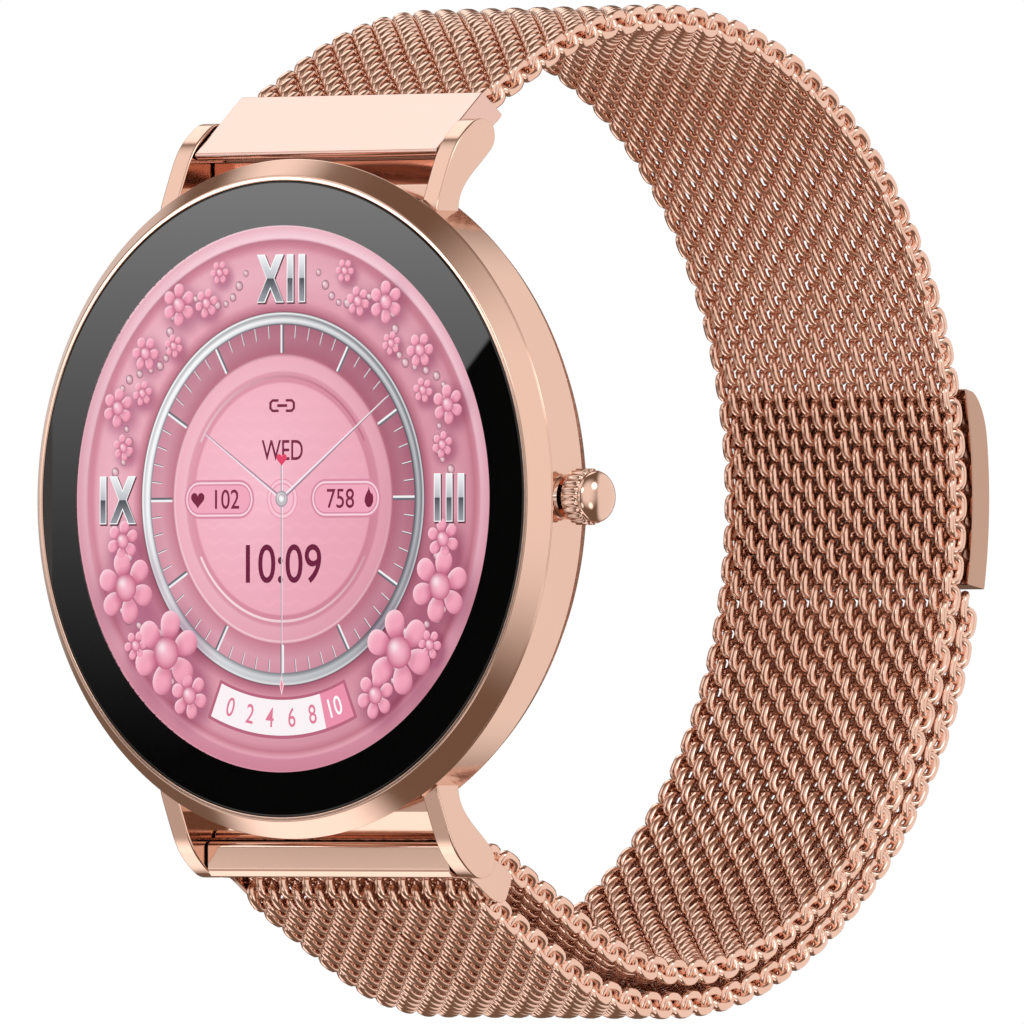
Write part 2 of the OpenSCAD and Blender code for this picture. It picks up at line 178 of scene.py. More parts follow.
# White fields in the air: azimuth (0 is the dial's side, 90 the crown's), elevation, strength, and the
# angles from the middle where the field starts to fade and where it ends
FIELDS = ((50, 14, 0.85, 18, 66), (155, 0, 0.8, 42, 58), (-122, 13, 0.55, 10, 20), (-84, -55, 1.25, 9, 27),
          (-124, 54, 1.25, 18, 25), (-50, 38, 0.9, 10, 30), (-51, -34, 0.4, 8, 26), (-40, 0, 0.85, 9, 18),
          (5, 26, 3.4, 5, 13), (95, 32, 3.0, 5, 14), (-84, 2, 2.4, 4, 11), (0, -35, 1.6, 5, 13),
          (75, -30, 1.4, 5, 14))
world = bpy.data.worlds.new("studio_air")
world.use_nodes = True
scene.world = world
air = world.node_tree
ray = add(air, "ShaderNodeTexCoord").outputs["Generated"]
brightness = 0.0
for azimuth, elevation, strength, full, gone in FIELDS:
    a, e = math.radians(azimuth), math.radians(elevation)
    middle = (math.sin(a) * math.cos(e), -math.cos(a) * math.cos(e), math.sin(e))
    facing = add(air, "ShaderNodeVectorMath", {0: ray, 1: middle}, operation="DOT_PRODUCT").outputs["Value"]
    field = add(air, "ShaderNodeMapRange", {"Value": facing, "From Min": math.cos(math.radians(gone)),
                "From Max": math.cos(math.radians(full)), "To Max": strength}, interpolation_type="SMOOTHSTEP")
    brightness = add(air, "ShaderNodeMath", {0: field.outputs["Result"], 1: brightness}).outputs["Value"]
dim_air = add(air, "ShaderNodeBackground", {"Color": (1.0, 0.66, 0.47, 1), "Strength": 0.2})
white_fields = add(air, "ShaderNodeBackground", {"Color": (1.0, 0.985, 0.97, 1), "Strength": brightness})
lit_air = add(air, "ShaderNodeAddShader", {0: dim_air.outputs["Background"],
              1: white_fields.outputs["Background"]})
backdrop = add(air, "ShaderNodeBackground", {"Color": (1, 1, 1, 1), "Strength": 1.0})
by_ray = add(air, "ShaderNodeMixShader", {0: add(air, "ShaderNodeLightPath").outputs["Is Camera Ray"],
             1: lit_air.outputs["Shader"], 2: backdrop.outputs["Background"]})
air.links.new(by_ray.outputs["Shader"], air.nodes["World Output"].inputs["Surface"])

# A card that the flat glass mirrors: it fades downward as a 1.8 power of height, and a slanted edge
# cuts it off. It stands where the mirrored lens would look, card_range mm from the watch.
card_range = 250.0
card_columns, card_rows = 260, 300
edge_softness = 0.25
spread = 1 + card_range / LENS_DISTANCE
u, v = np.meshgrid(np.linspace(-16, 16, card_columns), np.linspace(-20.5, 20.5, card_rows), indexing="ij")
card_centre = toward * (-1, 1, -1) * card_range + (0, -8, 0)
card_points = card_centre + spread * (u[..., None] * (across * (1, -1, 1)) + v[..., None] * (0, 0, 1))
past_edge = (u - 12.25) * 0.803 - (v - 11.76) * 0.595
card_light = 4.0 * np.clip((v + 17) / 36, 0, 1) ** 1.8 * np.clip(0.5 - past_edge / edge_softness, 0, 1)
card_film, tree, shader = material_of("backlit_card", Base_Color=(0, 0, 0, 1), Roughness=1.0,
                                      Emission_Strength=1.0)
tree.links.new(add(tree, "ShaderNodeAttribute", attribute_name="tint").outputs["Color"],
               shader.inputs["Emission Color"])
card = mesh_of("studio_card", card_points.reshape(-1, 3), [grid_faces(card_columns, card_rows)], card_film)
card_tint = np.repeat(card_light.reshape(-1, 1), 4, 1).astype(np.float32)
card.data.attributes.new("tint", "FLOAT_COLOR", "POINT").data.foreach_set("color", card_tint.reshape(-1))
card.visible_camera = card.visible_diffuse = card.visible_transmission = card.visible_shadow = False

# ---------------------------------------------------------------- case back and side wall
# One turned shell, plated rose gold and polished to a mirror. The wall is cut back in fine steps
# between the lugs, so that the band ends can swing.

ROSE = "#E5C3B2"


def drifting(name, tones, roughness, drift_mm, marks_mm, rough_range, metallic=1.0, detail=(2, 4), bump=0.0,
             stretch=(1, 1, 1)):
    """A finish whose colour runs between two tones with a noise of drift_mm, and whose roughness runs
    over rough_range with a noise of marks_mm. Both are stretched along one axis for turned and brushed
    faces, and bump is the depth of a fine relief, in mm."""
    finish, tree, shader = material_of(name, Base_Color=srgb(tones[0]), Metallic=metallic, Roughness=roughness)
    place_of = add(tree, "ShaderNodeMapping", {"Vector": add(tree, "ShaderNodeTexCoord").outputs["Object"],
                   "Scale": stretch}).outputs["Vector"]
    drift, marks = (add(tree, "ShaderNodeTexNoise", {"Vector": place_of, "Scale": 1 / (size * MM),
                    "Detail": octaves}).outputs["Fac"] for size, octaves in zip((drift_mm, marks_mm), detail))
    mixed = add(tree, "ShaderNodeMix", {"Factor": drift, "A": srgb(tones[0]), "B": srgb(tones[1])},
                data_type="RGBA")
    tree.links.new(mixed.outputs["Result"], shader.inputs["Base Color"])
    rough = add(tree, "ShaderNodeMapRange", {"Value": marks, "To Min": rough_range[0], "To Max": rough_range[1]})
    tree.links.new(rough.outputs["Result"], shader.inputs["Roughness"])
    if bump:
        relief = add(tree, "ShaderNodeBump", {"Strength": 0.5, "Distance": bump * MM, "Height": marks})
        tree.links.new(relief.outputs["Normal"], shader.inputs["Normal"])
    return finish


def plated(name, roughness, tones=(ROSE, "#EBC9B8")):
    """Rose gold plating on polished steel: a copper pink mirror whose tone drifts a little, and whose
    fine polish marks, 0.4 mm apart, make its reflections a shade soft."""
    return drifting(name, tones, roughness, 9, 0.4, (roughness * 0.94, roughness * 1.24))


# Rose gold plate, buffed with compound: clear reflections with a pink cast
mirror_plate = plated("polished_rose_gold_plate", 0.10)


def rounded(corners, radius, steps=4):
    """A closed outline whose corners are arcs that start radius before each corner and end radius
    after it: the quadratic curve drawn toward the corner. One more point just outside each end of an
    arc keeps the flats beside it truly flat in a reflection."""
    p = np.asarray(corners, float)
    before, after = np.roll(p, 1, 0) - p, np.roll(p, -1, 0) - p
    length_before, length_after = (np.linalg.norm(side, axis=1)[:, None] for side in (before, after))
    reach_before = np.minimum(radius, 0.42 * length_before)
    reach_after = np.minimum(radius, 0.42 * length_after)
    before, after = before / length_before, after / length_after
    a, b = p + before * reach_before, p + after * reach_after
    t = np.linspace(0, 1, steps + 1)[None, :, None]
    curve = (1 - t) ** 2 * a[:, None] + 2 * t * (1 - t) * p[:, None] + t ** 2 * b[:, None]
    guard_before = a + before * np.minimum(0.03, 0.05 * length_before)
    guard_after = b + after * np.minimum(0.03, 0.05 * length_after)
    return np.concatenate([guard_before[:, None], curve, guard_after[:, None]], 1).reshape(-1, 2)


def loop_area(outline):
    """Twice the signed area of a closed outline: the sum of each edge's cross product."""
    a, b = outline.T
    return np.sum(a * np.roll(b, -1) - np.roll(a, -1) * b)


def turned(name, outline, material, steps=288, sweep=(0.0, 360.0)):
    """A closed outline of radius and depth, carried round the dial's axis. Angle 0 is 12 o'clock and
    90 the crown side: a point is (r sin a, depth, r cos a). An open sweep gets flat ends."""
    whole = sweep[1] - sweep[0] >= 360
    angle = np.radians(np.linspace(*sweep, steps + (0 if whole else 1), endpoint=not whole))[:, None]
    r, y = np.asarray(outline).T[:, None, :]
    points = np.stack([r * np.sin(angle), y + 0 * angle, r * np.cos(angle)], -1)
    rows, columns = points.shape[:2]
    faces = [grid_faces(rows, columns, wrap_rows=whole, wrap_columns=True)]
    if not whole:
        ring = np.arange(columns)[None, :]
        faces += [ring[:, ::-1], (rows - 1) * columns + ring]
    if loop_area(outline) > 0:
        faces = [group[:, ::-1] for group in faces]
    return mesh_of(name, points.reshape(-1, 3), faces, material)




def node_box(node):
    """The low and the high corner of a node's box, in mm."""
    return tuple(np.array(corner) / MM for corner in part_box(node))


case_low, case_high = node_box("mid_case")
case_r = node_box("bezel_ring")[1][0]
wall_y, rear_y = case_low[1], case_high[1]
wall_back_y = wall_y + 2.84
lug_in, lug_out = 10.0, 11.35
wall_outline = rounded([(19.2, wall_y + 0.01), (case_r, wall_y + 0.01), (case_r, wall_back_y), (20.5, -3.2),
                        (19.5, -1.9), (18.6, rear_y), (17.8, rear_y), (18.9, -2.2), (19.2, -3.6)], 0.12)
hide = math.degrees(math.asin((lug_in + 0.25) / case_r))
for side_name, start in (("crown", hide), ("plain", 180 + hide)):
    wall = turned(f"case_wall_{side_name}_side", wall_outline, mirror_plate, 160,
                  (start, start + 180 - 2 * hide))
    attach(wall, "case")
    if side_name == "crown":
        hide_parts("mid_case")
step_outline = rounded([(18.7, wall_y + 0.01), (20.7, wall_y + 0.01), (20.7, -6.5), (20.45, -6.5),
                        (20.45, -6.1), (20.2, -6.1), (20.2, -5.7), (19.95, -5.7), (19.95, -3.6),
                        (19.3, -1.9), (18.5, rear_y), (16.6, rear_y), (16.6, -2.4), (18.7, -2.4)], 0.05, 3)
core = turned("case_core", step_outline, mirror_plate)
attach(core, "case")

# ---------------------------------------------------------------- lugs
# Four thin horns, one piece with the case. Their flat sides are polished and their edges broken. A
# sloping shoulder joins each pair under the band's end.


def plate(name, outline, x0, x1, material, edge=0.1, steps=3):
    """A flat outline of depth and height, carried across from x0 to x1, with rounded edges."""
    outline = np.asarray(outline, float)
    n = len(outline)
    points = np.concatenate([np.column_stack([np.full(n, x), outline]) for x in (x0, x1)])
    ring = np.arange(n)[None, :]
    faces = [grid_faces(2, n, wrap_columns=True), ring[:, ::-1], n + ring]
    if loop_area(outline) < 0:
        faces = [group[:, ::-1] for group in faces]
    piece = mesh_of(name, points, faces, material)
    if edge:
        bevel = piece.modifiers.new("broken_edge", "BEVEL")
        bevel.width, bevel.segments, bevel.limit_method = edge * MM, steps, "ANGLE"
        bevel.angle_limit, bevel.harden_normals = math.radians(35), True
    return piece


lug_outline = rounded([(-6.5, 16.2), (-6.5, 17.9), (-5.83, 19.5), (-5.12, 21.1), (-4.52, 22), (-3.65, 22.8),
                       (-2.9, 23.3), (-2.3, 23.42), (-1.6, 23.3), (-1.1, 23), (-0.95, 22.6), (-0.97, 21.8),
                       (-1.9, 20.95), (-3.2, 19.9), (-3.95, 19.1), (-4.4, 18.2), (-4.4, 16.2)], 0.6, 4)
for number, (side, end) in enumerate(((1, 1), (-1, 1), (-1, -1), (1, -1))):
    x0, x1 = sorted((side * lug_in, side * lug_out))
    lug = plate(f"lug_{number + 1}", lug_outline * (1, end), x0, x1, mirror_plate, 0.13)
    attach(lug, "case")
shoulder_outline = rounded([(-5.1, 18.0), (-4.75, 19.3), (-3.1, 20.95), (-2.1, 20.97), (-1.9, 21.12),
                            (-1.6, 21.12), (-1.7, 20.4), (-3.4, 19.5), (-4.5, 18.0)], 0.06)
for label, end in (("top", 1), ("bottom", -1)):
    shoulder = plate(f"case_shoulder_{label}", shoulder_outline * (1, end), -lug_in, lug_in, mirror_plate, 0)
    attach(shoulder, "case")

# ---------------------------------------------------------------- bezel
# A turned ring pressed over the glass: a narrow bright land beside the glass, then a wide polished
# cone down to the seam at the wall.

glass_low, glass_high = node_box("cover_glass")
glass_y, glass_back_y, glass_r = glass_low[1], glass_high[1], glass_high[0]
bezel_outline = rounded([(glass_r + 0.03, glass_y), (glass_r + 0.32, glass_y), (case_r, wall_y),
                         (19.3, wall_y), (19.3, -6.3), (18.6, -6.3), (18.6, -7.05),
                         (glass_r + 0.03, -7.05)], 0.06, 4)
bezel = turned("bezel", bezel_outline, mirror_plate, 360)
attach(bezel, "case")
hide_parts("bezel_ring")

# ---------------------------------------------------------------- cover glass
# Mineral glass with a rounded edge. The outer band is printed black from behind. The window is
# anti-reflection coated, so its index is set low and the lit dial keeps its colour.

window_r = 16.86
# Coated mineral glass, ground and polished: clear, with hardly a reflection of its own
clear_glass, tree, shader = material_of("coated_mineral_glass", Base_Color=srgb("#FFFFFF"), Roughness=0.0,
                                        IOR=1.12, Transmission_Weight=1.0)
# The same glass printed black behind, so that it looks like a dark mirror
black_print, tree, shader = material_of("black_glass_border", Base_Color=srgb("#030303"), Roughness=0.006,
                                        IOR=1.5)
window = turned("glass_window", np.array([(0.0, glass_y), (window_r, glass_y), (window_r, glass_back_y),
                (0.0, glass_back_y)]), clear_glass, 180)
edge_a = np.radians(np.linspace(0, 90, 6))
border_outline = np.concatenate([
    [(window_r, glass_y), (glass_r - 0.11, glass_y)],
    np.stack([glass_r - 0.08 + 0.08 * np.sin(edge_a), glass_y + 0.08 - 0.08 * np.cos(edge_a)], -1),
    [(glass_r, glass_y + 0.12), (glass_r, glass_back_y), (window_r, glass_back_y)]])
border = turned("glass_border", border_outline, black_print, 288)
for piece in (window, border):
    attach(piece, "case")
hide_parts("cover_glass")

# ---------------------------------------------------------------- crown
# Turned and knurled on a lathe: a plain neck, a ring of straight teeth and a domed cap.

crown_low, crown_high = node_box("crown_knob")
crown_y = (crown_low[1] + crown_high[1]) / 2
grip_r = (crown_high[2] - crown_low[2]) / 2
knob_x = crown_low[0]
teeth = 22


def turned_across(name, profile, material, depth=0.0, count=teeth, steps=8):
    """A profile of (x, radius, tooth share) carried round the crown's axis. Where the share is 1 the
    radius sinks by depth between the teeth, as a flattened cosine of the angle."""
    profile = np.asarray(profile, float)
    angle = np.linspace(0, 2 * math.pi, count * steps, endpoint=False)[:, None]
    valley = 0.5 - 0.5 * np.tanh(2.5 * np.cos(count * angle)) / math.tanh(2.5)
    r = profile[None, :, 1] - depth * profile[None, :, 2] * valley
    points = np.stack([profile[None, :, 0] + 0 * angle, crown_y + r * np.cos(angle), r * np.sin(angle)], -1)
    rows, columns = points.shape[:2]
    end = np.arange(rows)[None, :] * columns
    faces = [grid_faces(rows, columns, wrap_rows=True)[:, ::-1], end[:, ::-1], end + columns - 1]
    return mesh_of(name, points.reshape(-1, 3), faces, material, 50)


dome = np.radians(np.linspace(4, 86, 12))
grip = [(knob_x, 1.3, 0), (knob_x + 0.05, 1.4, 0), (knob_x + 0.2, 1.4, 0), (knob_x + 0.21, grip_r - 0.16, 0),
        (knob_x + 0.3, grip_r - 0.03, 1), (knob_x + 0.38, grip_r, 1), (knob_x + 1.32, grip_r, 1),
        (knob_x + 1.4, grip_r - 0.04, 1), (knob_x + 1.46, grip_r - 0.2, 0)]
cap = [(knob_x + 1.6 + 0.95 * math.sin(a), 1.6 * math.cos(a), 0) for a in dome]
knob = turned_across("crown_grip", grip + cap, mirror_plate, 0.13)
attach(knob, "crown")
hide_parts("crown_knob")

# ---------------------------------------------------------------- band ends
# The upper end link is a solid bar with a flat sloping face. The lower buckle is a frame: a front bar on
# the spring bar, two thin cheeks, and a far bar that the band folds round.

link_out = 9.85
link_outline = rounded([(-4.88, 21.42), (-4.72, 21.16), (-4.4, 21.08), (-3.4, 21.05), (-2.1, 21.1),
                        (1.2, 23.4), (1.5, 23.7), (-0.4, 25.1)], 0.16, 4)
# The same plating, drawn a little pinker than the case as a painted reflection tint, to match how its lit flat
# face looks
link_plate = plated("rose_gold_plate_painted_reflection", 0.10, ("#E5C3B9", "#EBC9BF"))
end_link = plate("end_link", link_outline, -link_out, link_out, link_plate, 0.08)
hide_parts("upper_end_link")


def bar(name, ends, radius, centre, material, edge=0.08, steps=48):
    """A round rod across the watch between two X places, with broken edges at its ends."""
    angle = np.linspace(0, 2 * math.pi, steps, endpoint=False)
    ring = np.column_stack([centre[0] + radius * np.cos(angle), centre[1] + radius * np.sin(angle)])
    return plate(name, ring, ends[0], ends[1], material, edge)


link_barrel = bar("end_link_barrel", (-link_out, link_out), 0.95, (-2.6, 22.0), mirror_plate)
for piece in (end_link, link_barrel):
    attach(piece, "upper_band")

front_lip = plate("buckle_lip", rounded([(-3.4, -21.15), (-3.6, -21.35), (-3.6, -22.95), (-3.25, -23.35),
                  (-1.5, -23.42), (-1.15, -22.9), (-1.6, -22.1), (-2.4, -21.1)], 0.14, 4), -link_out, link_out,
                  mirror_plate, 0.05)
front_bar = bar("buckle_barrel", (-link_out, link_out), 0.98, (-2.6, -22.0), mirror_plate)
cheek_outline = rounded([(-3.4, -21.6), (-2.6, -21.1), (0.9, -22.25), (2.5, -23.2), (1.75, -25), (0.5, -24.75),
                         (-1.5, -23.42), (-2.75, -22.95), (-3.4, -22.3)], 0.5, 4)
cheeks = [plate(f"buckle_cheek_{label}", cheek_outline, *sorted((side * 9.51, side * link_out)),
                mirror_plate, 0.06) for label, side in (("crown_side", 1), ("plain_side", -1))]
far_low, far_high = node_box("buckle_bar")
far_bar = bar("buckle_far_bar", (-9.76, 9.76), (far_high[2] - far_low[2]) / 2, (far_low + far_high)[1:] / 2,
              mirror_plate)
for piece in (front_lip, front_bar, far_bar, *cheeks):
    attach(piece, "lower_band")
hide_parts("buckle_frame")
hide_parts("buckle_bar")

# ---------------------------------------------------------------- woven band
# Milanese mesh: each row is one flattened spiral of plated steel wire across the band, wound through
# the rows beside it, then rolled flat. The strip runs from the upper link round the wrist, folds
# round the far bar of the buckle, and lies back on itself as far as the clasp.

# The inner layer's legs: length in mm and turn in degrees, then the heading of each end
legs = np.array([(5.4, 0.0), (27.65 * math.radians(71.25), 71.25), (30.4 * math.radians(116.4), 116.4),
                 (19 * math.radians(48.6), 48.6), (9.9, 0.0)])
leg_ends = np.concatenate([[0], np.cumsum(legs[:, 0])])
leg_headings = 27.65 - np.concatenate([[0], np.cumsum(legs[:, 1])])
inner_length = leg_ends[-1]
layer_pitch, fold_w, tail_end_s = 1.85, 2.9, 69.7
fine = 0.02
fold_steps = 230


def inner_layer(s):
    """Depth, height and heading on the inner layer: the heading falls evenly along each arc, and the
    place is the running sum of its cosine and sine."""
    grid = np.arange(-1.0, inner_length + 0.5, fine)
    heading = np.radians(np.interp(grid, leg_ends, leg_headings))
    y = np.cumsum(np.cos(heading)) * fine
    z = np.cumsum(np.sin(heading)) * fine
    y += 0.38 - np.interp(0, grid, y)
    z += 24.37 - np.interp(0, grid, z)
    return np.interp(s, grid, y), np.interp(s, grid, z), np.interp(s, grid, heading)


def beside(s, out):
    """The point at length s along the inner layer and out millimetres off it, away from the wrist."""
    y, z, heading = inner_layer(np.asarray(s, float))
    return np.stack([y - out * np.sin(heading), z + out * np.cos(heading)], -1)


def layer_gap(s):
    """Distance between the two layers: close together, and opening smoothly towards the buckle."""
    u = np.clip((s - 105) / 15, 0, 1)
    return layer_pitch + (fold_w - layer_pitch) * u * u * (3 - 2 * u)


inner_s = np.arange(-0.8, inner_length, fine)
fold_angle = np.linspace(0, math.pi, fold_steps)
end_heading = inner_layer(inner_length)[2]
fold_centre = beside(inner_length, fold_w / 2)
outer_s = np.arange(inner_length, tail_end_s, -fine)
strip = np.concatenate([
    beside(inner_s, 0),
    fold_centre + fold_w / 2 * np.stack([np.sin(end_heading + fold_angle),
                                         -np.cos(end_heading + fold_angle)], -1),
    beside(outer_s, layer_gap(outer_s))])
strip_inner_s = np.concatenate([inner_s, np.full(fold_steps, inner_length), outer_s])
steps_along = np.linalg.norm(np.diff(strip, axis=0), axis=1)
strip = strip[np.concatenate([[True], steps_along > 1e-6])]
strip_inner_s = strip_inner_s[np.concatenate([[True], steps_along > 1e-6])]
run_of = np.concatenate([[0], np.cumsum(np.linalg.norm(np.diff(strip, axis=0), axis=1))])
along_strip = np.gradient(strip, run_of, axis=0)
along_strip /= np.linalg.norm(along_strip, axis=1)[:, None]


def on_strip(t, out):
    """The point at run t on the strip's middle, moved out along its left normal."""
    y, z = np.interp(t, run_of, strip[:, 0]), np.interp(t, run_of, strip[:, 1])
    ty, tz = np.interp(t, run_of, along_strip[:, 0]), np.interp(t, run_of, along_strip[:, 1])
    return y - out * tz, z + out * ty


ROW = 0.9812         # from one row of wire to the next, in mm
PITCH = 1.92         # one turn of the spiral, across the band
HALF_TURNS = 19
WIRE_D = 0.62
LEG_REACH = 0.8      # half the height of a turn, along the strip
LEG_RISE = 0.56      # half its depth, through the strip


def wires(name, rows, material, steps=20, sides=8):
    """Rows of spiral wire as one mesh. Along a turn the wire crosses by its pitch, nearly all of it
    between the legs, swings up and down the strip as a cosine, and through its thickness as a
    squared-off sine, so its legs lie straight and flat. Its last turn folds back over the edge. A
    round section is carried along it."""
    rows = np.asarray(rows)
    turns = HALF_TURNS / 2 + 0.7
    phase = np.linspace(-0.35, HALF_TURNS / 2 + 0.35, int(turns * steps) + 1)[None, :]
    shift = np.where(rows % 2 == 0, 0.25, 0.75)[:, None]
    half_w = HALF_TURNS / 4 * PITCH
    lag = (1.22 * np.sin(4 * np.pi * phase) - np.sin(8 * np.pi * phase) / 6) / (4 * np.pi)
    x = PITCH * (phase - lag) - half_w
    past = abs(x) - half_w
    x = np.sign(x) * (half_w + 0.3 * past - 0.7 * np.hypot(past, 0.12) + 0.084) + 0 * shift
    turn_at = 2 * np.pi * (phase + shift)
    c, s = np.cos(turn_at), np.sin(turn_at)
    y, z = on_strip(rows[:, None] * ROW + LEG_REACH * c, LEG_RISE * (1.35 * s - 0.35 * s ** 3))
    line = np.stack([x, y, z], -1)
    tangent = np.gradient(line, axis=1)
    tangent /= np.linalg.norm(tangent, axis=2)[..., None]
    first = np.array([1.0, 0, 0]) - tangent[..., :1] * tangent
    first /= np.linalg.norm(first, axis=2)[..., None]
    second = np.cross(tangent, first)
    round_at = np.linspace(0, 2 * math.pi, sides, endpoint=False)[None, None, :, None]
    section = np.cos(round_at) * first[:, :, None] + np.sin(round_at) * second[:, :, None]
    tube = line[:, :, None] + WIRE_D / 2 * section
    n, m = line.shape[:2]
    one = grid_faces(m, sides, wrap_columns=True)
    base = (np.arange(n) * m * sides)[:, None, None]
    quads = (one[None] + base).reshape(-1, 4)
    start = base[:, 0] + np.arange(sides)[None, ::-1]
    finish = base[:, 0] + (m - 1) * sides + np.arange(sides)[None, :]
    return mesh_of(name, tube.reshape(-1, 3), [quads, start, finish], material, 60)


# Drawn steel wire, plated rose gold: bright lines along the wire, dark between the turns
woven_wire = drifting("drawn_rose_gold_wire", ("#E8BEAA", "#F4D3C3"), 0.1, 3.5, 0.12, (0.06, 0.13), detail=(3, 2))

row_runs = np.arange(int((run_of[-1] - 0.35) / ROW) + 1) * ROW
fold_start = 0.8 + inner_length
row_place = np.interp(row_runs, run_of, strip_inner_s)
inner_row = row_runs < fold_start
outer_row = row_runs > fold_start + math.pi * fold_w / 2
# Places of the two pivots along the inner layer. The rows within bend mm of the upper one make a piece of their
# own, and the outer layer is cut bend mm past the lower one.
bend = 4.0
top_bend, low_bend = 39.784, 88.979
tail_cuts = (low_bend + bend, 85.5, 80.5, 75.5, 70.5)
woven = (
    ("band_weave_top", inner_row & (row_place < top_bend - bend), "upper_band", "band_top"),
    ("band_weave_back", inner_row & (row_place > top_bend + bend) & (row_place < low_bend), "back_band",
     "band_back"),
    ("band_weave_lower", inner_row & (row_place >= low_bend), "lower_band", "band_lower"),
    ("band_weave_fold", ~inner_row & ~outer_row, "lower_band", "band_fold"),
    ("band_weave_return", outer_row & (row_place > low_bend + bend), "lower_band", "band_return"))
for name, chosen, body, node in woven:
    piece = wires(name, np.flatnonzero(chosen), woven_wire)
    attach(piece, body)
    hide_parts(node)
woven_bends = [
    ("band_weave_top_bend", inner_row & (abs(row_place - top_bend) <= bend), "upper_band", "back_band",
     (top_bend - bend, 0), (top_bend + bend, 0), ())]
tail_bodies = ("lower_band", "tail_root", "tail_lower", "tail_upper", "clasp")
tail_parts = (("bend", "root"), ("lower", "lower"), ("upper", "upper"), ("end", "end"))
for k, (part, node_part) in enumerate(tail_parts):
    chosen = outer_row & (row_place <= tail_cuts[k])
    if part != "end":
        chosen &= row_place > tail_cuts[k + 1]
    woven_bends.append((f"band_weave_tail_{part}", chosen, *tail_bodies[k:k + 2], (tail_cuts[k], 1),
                        (tail_cuts[k + 1], 1), (f"band_tail_{node_part}",)))
for name, chosen, near, far, start, end, nodes in woven_bends:
    piece = wires(name, np.flatnonzero(chosen), woven_wire)
    if nodes:
        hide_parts(*nodes)
    ends = [(0, *(beside(s, layer * layer_gap(s)) * MM)) for s, layer in (start, end)]
    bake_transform(piece)

# ---------------------------------------------------------------- clasp plate
# A bent plate a little wider than the band, plated, whose free end curls in to the band. A flat steel
# liner and magnets on its inner face hold it to the layer below.

plate_x = 9.6
clasp_s, clasp_l = 69.7, 12.0
clasp_in, clasp_out = 0.98, 2.68
curl = 3.2
back_run = np.arange(clasp_s, clasp_s - clasp_l - 0.01, -0.3)
lead = np.clip((clasp_s - clasp_l + curl - back_run) / curl, 0, 1)
curled_in = clasp_in + 0.15 + (clasp_out - clasp_in - 0.15) * np.sqrt(1 - lead ** 2)
clasp_outline = np.concatenate([beside(back_run, curled_in), beside(back_run[::-1], clasp_in + 0.03)])
# The same plating, drawn a shade darker than the case as painted shade, to match how its edge looks
clasp_plating = plated("rose_gold_plate_painted_shade", 0.14, ("#BE9C8A", "#C6A593"))
clasp = plate("clasp_plate", clasp_outline, -plate_x, plate_x, clasp_plating, 0.12)
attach(clasp, "clasp")
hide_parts("clasp_shell")

# ---------------------------------------------------------------- parts kept from the frame
# Pins, springs, seals, boards and covers whose CAD shape is right. Each gets the finish of the real
# part: turned steel, moulded rubber, printed board, foil pouch or black plastic.


def finished(name, base, second, grain_mm, roughness, metallic=0.0, bump=0.0, stretch=(1, 1, 1)):
    """A drifting finish with one grain for its tone, its roughness and its relief."""
    return drifting(name, (base, second), roughness, grain_mm, grain_mm,
                    (roughness * 0.85, min(roughness * 1.2, 1.0)), metallic, (3, 3), bump, stretch)


# Each is named for what it is and how it was made: turned, drawn, moulded, plated, printed or brushed.
turned_steel = finished("turned_stainless_steel", "#C9C6C2", "#DAD7D2", 0.15, 0.22, 1.0, 0.002, (0.05, 1, 1))
spring_steel = finished("drawn_spring_steel", "#A9A6A2", "#C2BFBA", 0.2, 0.3, 1.0)
moulded_rubber = finished("moulded_black_rubber", "#17161A", "#212024", 0.3, 0.75, 0, 0.01)
foam_tape = finished("black_adhesive_foam", "#1E1D20", "#2B2A2E", 0.25, 0.85, 0, 0.02)
polyimide = finished("amber_polyimide_film", "#B4641E", "#C87A2C", 1.5, 0.35)
black_plastic = finished("moulded_black_plastic", "#161517", "#1F1E21", 0.2, 0.48, 0, 0.006)
board_laminate = finished("green_solder_mask_board", "#12472B", "#1A5B38", 1.2, 0.4, 0, 0.01)
tin_plate = finished("tin_plated_shield", "#B9BABB", "#CFD0D0", 0.8, 0.32, 1.0)
foil_pouch = finished("aluminium_foil_pouch", "#B7B8BC", "#C9CACE", 2.0, 0.4, 0.9, 0.03)
white_tape = finished("white_foam_pad", "#D9D7D2", "#E6E4E0", 0.4, 0.8, 0, 0.02)
gold_plate = finished("gold_plated_contact", "#D8A850", "#E6BC6C", 0.3, 0.25, 1.0)
nickel_magnet = finished("nickel_plated_magnet", "#A8A49C", "#BDB9B0", 0.6, 0.28, 1.0)
diode_lens = finished("clear_green_diode", "#3E9C56", "#5BBE70", 0.4, 0.2)
brushed_cover = finished("brushed_plated_back", "#B98F7C", "#C79E8B", 0.12, 0.34, 1.0, 0.003, (1, 1, 0.03))
smoked_window, tree, shader = material_of("smoked_polished_window", Base_Color=srgb("#0C0A0C"), Roughness=0.05)
dust = add(tree, "ShaderNodeTexNoise", {"Vector": add(tree, "ShaderNodeTexCoord").outputs["Object"],
           "Scale": 1 / (2.5 * MM), "Detail": 2.0})
tree.links.new(add(tree, "ShaderNodeMapRange", {"Value": dust.outputs["Fac"], "To Min": 0.04, "To Max": 0.1})
               .outputs["Result"], shader.inputs["Roughness"])

